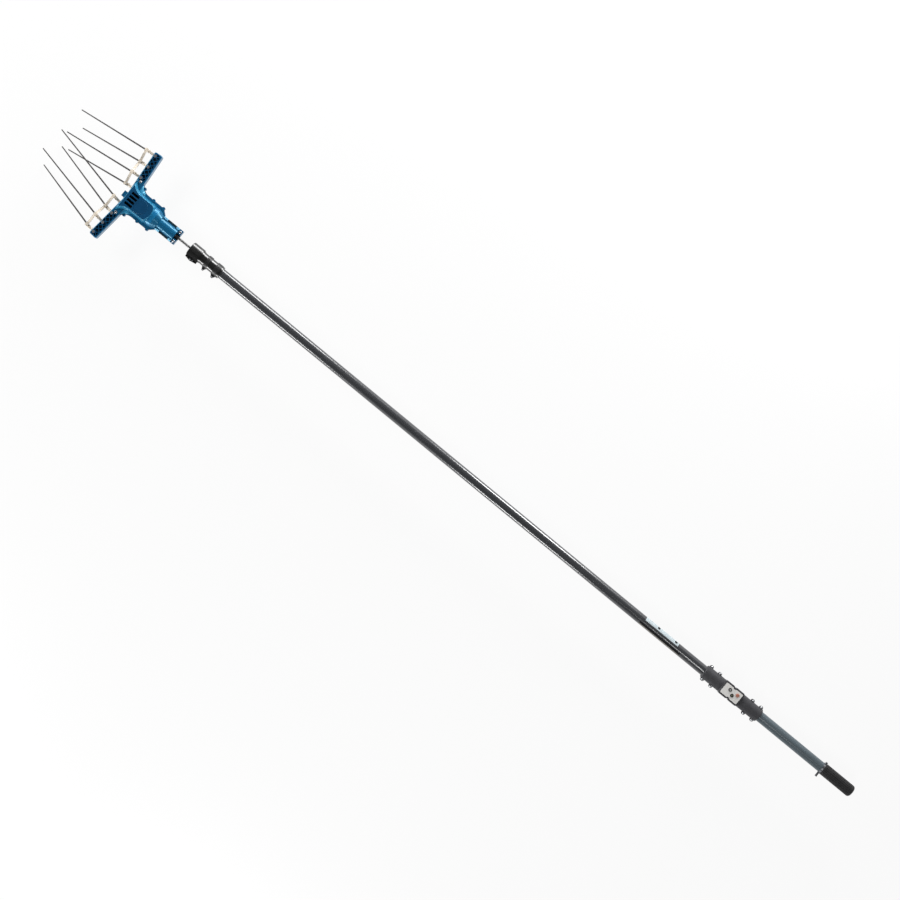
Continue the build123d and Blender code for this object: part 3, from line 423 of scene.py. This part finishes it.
def is_face(middle, normal):
    """Flat top of the raised cover and flat faces of the arms, which take a darker blue as painted
    shade.
    """
    on_arm = abs(middle.x) > ARM_START and near(middle.z, ARM_LEVEL)
    return looks_up(normal) and (middle.z > COVER_LEVEL or on_arm)


def is_pocket(middle, normal):
    """Floors of the lattice pockets, and all that shows inside the cooling slots, which take a
    near-black blue as painted shade.
    """
    floor = looks_up(normal) and near(middle.z, POCKET_LEVEL) and abs(middle.x) > ARM_START
    return floor or in_vents(middle)


def is_flange(middle, normal):
    """Flat strips beside the round socket, which take a dark blue as painted shade."""
    along = middle.y - MOUTH
    beside = 0 < along < SOCKET_LENGTH and abs(middle.x) < SOCKET_HALF
    return looks_up(normal) and near(middle.z, FLANGE_LEVEL) and beside


def is_hood(middle, normal):
    """Round body behind the raised cover, which takes a lighter blue as a painted highlight."""
    from_axis = math.hypot(middle.x, middle.z - HOOD_AXIS)
    return abs(from_axis - HOOD_RADIUS) < HOOD_SLACK and middle.z > SLOPE_LEVEL


def is_slope(middle, normal):
    """Sloping sides of the raised cover, which take a lighter blue as a painted highlight."""
    beside = middle.y - MOUTH > SLOPE_START and abs(middle.x) < ARM_START
    slopes = SLOPE_NORMALS[0] < normal.z < SLOPE_NORMALS[1]
    return beside and slopes and middle.z > SLOPE_LEVEL and not in_vents(middle)


def is_lug_side(middle, normal):
    """Half of the collar with the lug."""
    return middle.x < LUG_SIDE


def is_rear_lamp(middle, normal):
    """The indicator lamp nearer to the grip."""
    low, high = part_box("indicator_lamps")
    return middle.y < (low.y + high.y) / 2


for finish, names in FINISHES.items():
    for name in names:
        paint(nodes[name], finish)
# Painted shade: darker blue on the flat faces that face up
paint_where("upper_housing", FLAT_SHADE_BLUE, is_face)
# Painted highlight: lighter blue on the sloping sides of the cover
paint_where("upper_housing", SLOPE_HIGHLIGHT_BLUE, is_slope)
# Painted highlight: lighter blue on the round hood
paint_where("upper_housing", HOOD_HIGHLIGHT_BLUE, is_hood)
# Painted shade: near-black in the pockets and inside the slots
paint_where("upper_housing", POCKET_SHADE, is_pocket)
# Painted shade: dark blue on the strips beside the socket
paint_where("upper_housing", FLANGE_SHADE, is_flange)
paint_where("collar", MATTE_BLACK, is_lug_side)
paint_where("indicator_lamps", OLIVE_LENS, is_rear_lamp)


# Pieces added to the CAD


def mesh_piece(name, mesh, material, body=BODY):
    """Object from a finished bmesh, painted and riding on a body."""
    data = bpy.data.meshes.new(name)
    mesh.to_mesh(data)
    mesh.free()
    obj = bpy.data.objects.new(name, data)
    bpy.context.scene.collection.objects.link(obj)
    paint(obj, material)
    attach(obj, body)


def close_rings(mesh, rings):
    """Skin over a row of rings of points, closed at both ends."""
    count = len(rings[0])
    for ring, after in zip(rings, rings[1:]):
        for corner in range(count):
            following = (corner + 1) % count
            mesh.faces.new((ring[corner], after[corner], after[following], ring[following]))
    mesh.faces.new(rings[0])
    mesh.faces.new(reversed(rings[-1]))
    bmesh.ops.recalc_face_normals(mesh, faces=mesh.faces)


def on_tube(angle, y, lift):
    """Point on the tube's surface, raised by lift."""
    radius = TUBE_RADIUS + lift
    turn = math.radians(angle)
    return Vector((radius * math.sin(turn), y, radius * math.cos(turn)))


def tube_patch(name, angles, span_at, lifts, material):
    """Thin patch wrapped on the upper tube between two angles and two lifts.

    span_at gives the two ends of the patch along the tube for a share from -1 to 1 across it.
    """
    mesh = bmesh.new()
    rings = []
    for index in range(PATCH_STEPS + 1):
        share = 2 * index / PATCH_STEPS - 1
        angle = (angles[0] + angles[1]) / 2 + (angles[1] - angles[0]) / 2 * share
        rear, front = span_at(share)
        corners = [(rear, lifts[0]), (front, lifts[0]), (front, lifts[1]), (rear, lifts[1])]
        rings.append([mesh.verts.new(on_tube(angle, y, lift)) for y, lift in corners])
    close_rings(mesh, rings)
    mesh_piece(name, mesh, material)


def tube_strip(name, span, angles, material):
    """Blank straight strip along the tube."""
    tube_patch(name, angles, lambda share: span, (0, STRIP_THICKNESS), material)


def tube_dot(name, y, angle, material):
    """Blank round mark on a strip of the tube, with its two ends a little blunt."""
    spread = math.degrees(DOT_RADIUS / TUBE_RADIUS)

    def span_at(share):
        half = DOT_RADIUS * math.sqrt(max(DOT_BLUNTNESS, 1 - share ** 2))
        return y - half, y + half

    lifts = (STRIP_THICKNESS, STRIP_THICKNESS * DOT_LIFT)
    tube_patch(name, (angle - spread, angle + spread), span_at, lifts, material)


def shoulder(name, side):
    """Slope from the rim up to the cover, which grows out of the rim on its way to the arm."""
    mesh = bmesh.new()
    rings = []
    for index in range(SHOULDER_STEPS + 1):
        share = index / SHOULDER_STEPS
        grown = min(1, share / SHOULDER_GROWN)
        growth = max(SHOULDER_LEAST, grown ** 2 * (3 - 2 * grown))
        top, base = [], []
        for line in SHOULDER_LINES:
            turn = math.radians(line["turn"]) * share
            x = side * (line["middle"][0] - line["radius"] * math.cos(turn)) * MM
            y = MOUTH + (line["middle"][1] + line["radius"] * math.sin(turn)) * MM
            top.append((x, y, SHOULDER_BASE + line["rise"] * growth * MM))
            base.append((x, y, SHOULDER_BASE))
        rings.append([mesh.verts.new(point) for point in (*top, base[1], base[0])])
    close_rings(mesh, rings)
    # The shoulders take the lighter blue of the slopes, a painted highlight
    mesh_piece(name, mesh, SLOPE_HIGHLIGHT_BLUE)


def islands(node):
    """Lowest and highest corner of each solid in a CAD node, in the order of its points."""
    mesh = bmesh.new()
    mesh.from_mesh(nodes[node].data)
    bmesh.ops.remove_doubles(mesh, verts=mesh.verts, dist=WELD)
    found = set()
    boxes = []
    for start in mesh.verts:
        if start in found:
            continue
        found.add(start)
        solid = [start]
        for vert in solid:
            for link in vert.link_edges:
                other = link.other_vert(vert)
                if other not in found:
                    found.add(other)
                    solid.append(other)
        points = [vert.co.copy() for vert in solid]
        boxes.append((Vector(map(min, zip(*points))), Vector(map(max, zip(*points)))))
    mesh.free()
    return boxes


def cross_outline(reach):
    """Cross for a driver, from arm to arm."""
    half = RECESS_WIDTH / 2
    return [(half, half), (half, reach), (-half, reach),
            (-half, half), (-reach, half), (-reach, -half),
            (-half, -half), (-half, -reach), (half, -reach),
            (half, -half), (reach, -half), (reach, half)]


def hex_outline(reach):
    """Hexagon for a key, from corner to corner."""
    turns = [2 * math.pi * step / HEX_SIDES for step in range(HEX_SIDES)]
    return [(reach * math.cos(turn), reach * math.sin(turn)) for turn in turns]


def recess(name, centre, facing, outline):
    """Flat dark sheet on top of a screw head: painted shade in place of its recess."""
    mesh = bmesh.new()
    turn = Matrix.Rotation(RECESS_TURN, 3, "Z")
    corners = [centre + turn @ Vector((x, y, facing * RECESS_SINK)) for x, y in outline]
    flat = [mesh.verts.new(corner) for corner in corners]
    mesh.faces.new(flat if facing > 0 else list(reversed(flat)))
    mesh_piece(name, mesh, RECESS_SHADE)


def add_recesses(groups, make_outline):
    """Dark sheet of painted shade for the recess on each screw of the groups: a head that lies
    under the joint plane faces down.
    """
    for group in groups:
        for index, (low, high) in enumerate(islands(group)):
            facing = 1 if abs(high.z) > abs(low.z) else -1
            centre = (low + high) / 2
            centre.z = high.z if facing > 0 else low.z
            outline = make_outline((high.x - low.x) / 2 * RECESS_SHARE)
            recess(f"{group}_recess_{index}", centre, facing, outline)


tube_strip("dark_strip", material=STRIP_DARK, **DARK_STRIP)
tube_strip("beige_strip", material=STRIP_BEIGE, **BEIGE_STRIP)
tube_strip("white_strip", material=STRIP_WHITE, **WHITE_STRIP)
for number, dot_y in enumerate(WHITE_STRIP_DOTS):
    tube_dot(f"strip_dot_{number}", dot_y, DOT_ANGLE, STRIP_DARK)
shoulder("left_shoulder", -1)
shoulder("right_shoulder", 1)
add_recesses(CROSS_SCREWS, cross_outline)
add_recesses(HEX_SCREWS, hex_outline)


# Smooth shading with sharp edges kept

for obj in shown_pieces():
    obj.data.polygons.foreach_set("use_smooth", [True] * len(obj.data.polygons))
    obj.data.set_sharp_from_angle(angle=SHARP_ANGLE)


# Stage, light and camera


def seen_directly(tree, links):
    """1 for rays from the camera, a reflection or a clear surface, and 0 for all other light."""
    path = tree.new("ShaderNodeLightPath")
    seen = path.outputs["Is Camera Ray"]
    for kind in ("Is Glossy Ray", "Is Transmission Ray"):
        either = tree.new("ShaderNodeMath")
        either.operation = "MAXIMUM"
        links.new(seen, either.inputs[0])
        links.new(path.outputs[kind], either.inputs[1])
        seen = either.outputs[0]
    return seen


def make_floor():
    """White floor under the part that still takes a faint shadow."""
    mesh = bmesh.new()
    bmesh.ops.create_grid(mesh, x_segments=1, y_segments=1, size=FLOOR_SIZE)
    data = bpy.data.meshes.new("floor")
    mesh.to_mesh(data)
    mesh.free()
    floor = bpy.data.objects.new("floor", data)
    low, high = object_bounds()
    floor.location = (0, (low[1] + high[1]) / 2, low[2] - FLOOR_DROP)
    bpy.context.scene.collection.objects.link(floor)
    material, tree, links, shader = node_tree("floor_white")
    shader.inputs["Base Color"].default_value = FLOOR_COLOUR
    shader.inputs["Roughness"].default_value = FLOOR_ROUGH
    glow = tree.new("ShaderNodeEmission")
    shown = tree.new("ShaderNodeMixShader")
    shown.inputs["Fac"].default_value = FLOOR_SHOWN
    links.new(shader.outputs["BSDF"], shown.inputs[1])
    links.new(glow.outputs["Emission"], shown.inputs[2])
    mix = tree.new("ShaderNodeMixShader")
    links.new(seen_directly(tree, links), mix.inputs["Fac"])
    links.new(shader.outputs["BSDF"], mix.inputs[1])
    links.new(shown.outputs["Shader"], mix.inputs[2])
    links.new(mix.outputs["Shader"], tree["Material Output"].inputs["Surface"])
    paint(floor, material)


def make_world():
    """Sky that is white near the horizon, dimmer on the left and dark overhead."""
    world = bpy.data.worlds.new("studio")
    bpy.context.scene.world = world
    world.use_nodes = True
    tree, links = world.node_tree.nodes, world.node_tree.links
    place = tree.new("ShaderNodeTexCoord")
    split = tree.new("ShaderNodeSeparateXYZ")
    ramp = tree.new("ShaderNodeValToRGB")
    elements = ramp.color_ramp.elements
    while len(elements) < len(SKY_LEVELS):
        elements.new(0.5)  # the next lines set its place
    for element, (height, level) in zip(elements, SKY_LEVELS):
        element.position = height
        element.color = (level, level, level, 1)
    links.new(place.outputs["Generated"], split.inputs["Vector"])
    links.new(split.outputs["Z"], ramp.inputs["Fac"])
    links.new(ramp.outputs["Color"], tree["Background"].inputs["Color"])
    side = tree.new("ShaderNodeMapRange")
    side.inputs["From Min"].default_value = LEFT_SKY_SPAN[0]
    side.inputs["From Max"].default_value = LEFT_SKY_SPAN[1]
    side.inputs["To Min"].default_value = LEFT_SKY
    links.new(split.outputs["X"], side.inputs["Value"])
    links.new(side.outputs["Result"], tree["Background"].inputs["Strength"])


def softbox(name, spot, aim, size, power):
    """Rectangular lamp that faces a point."""
    data = bpy.data.lights.new(name, "AREA")
    data.shape = "RECTANGLE"
    data.size, data.size_y = size
    data.energy = power
    lamp = bpy.data.objects.new(name, data)
    lamp.location = spot
    lamp.rotation_euler = (Vector(aim) - Vector(spot)).to_track_quat("-Z", "Y").to_euler()
    bpy.context.scene.collection.objects.link(lamp)


def make_lamps():
    """Lamps at both sides of the head and of the pole, one over the handle and one in front."""
    for name, lamps in (("head", HEAD_LAMPS), ("pole", POLE_LAMPS)):
        for row in (LEFT_LAMPS, RIGHT_LAMPS):
            side = row["side"]
            spot = (side * LAMP_AWAY, lamps["middle"], row["height"])
            aim = (0, lamps["middle"], 0)
            size = (lamps["length"], row["tall"])
            softbox(f"{name}_lamp_{side}", spot, aim, size, lamps["powers"][side])
    softbox("handle_lamp", **HANDLE_LAMP)
    softbox("front_lamp", **FRONT_LAMP)


def make_camera():
    """Camera straight above the face, turned so that the pole lies as in the photograph."""
    data = bpy.data.cameras.new("photo_camera")
    data.sensor_fit = "HORIZONTAL"
    data.angle = 2 * math.atan(FRAME_WIDTH / 2 / CAMERA_SPOT.z)
    data.clip_end = CLIP_END
    camera = bpy.data.objects.new("photo_camera", data)
    back = Vector((0, 0, 1))
    up = Vector((-math.cos(POLE_ANGLE), math.sin(POLE_ANGLE), 0))
    turn = Matrix((up.cross(back), up, back)).transposed()
    camera.matrix_world = Matrix.Translation(CAMERA_SPOT) @ turn.to_4x4()
    bpy.context.scene.collection.objects.link(camera)
    bpy.context.scene.camera = camera


make_floor()
make_world()
make_lamps()
make_camera()
bpy.context.scene.view_settings.view_transform = "Standard"
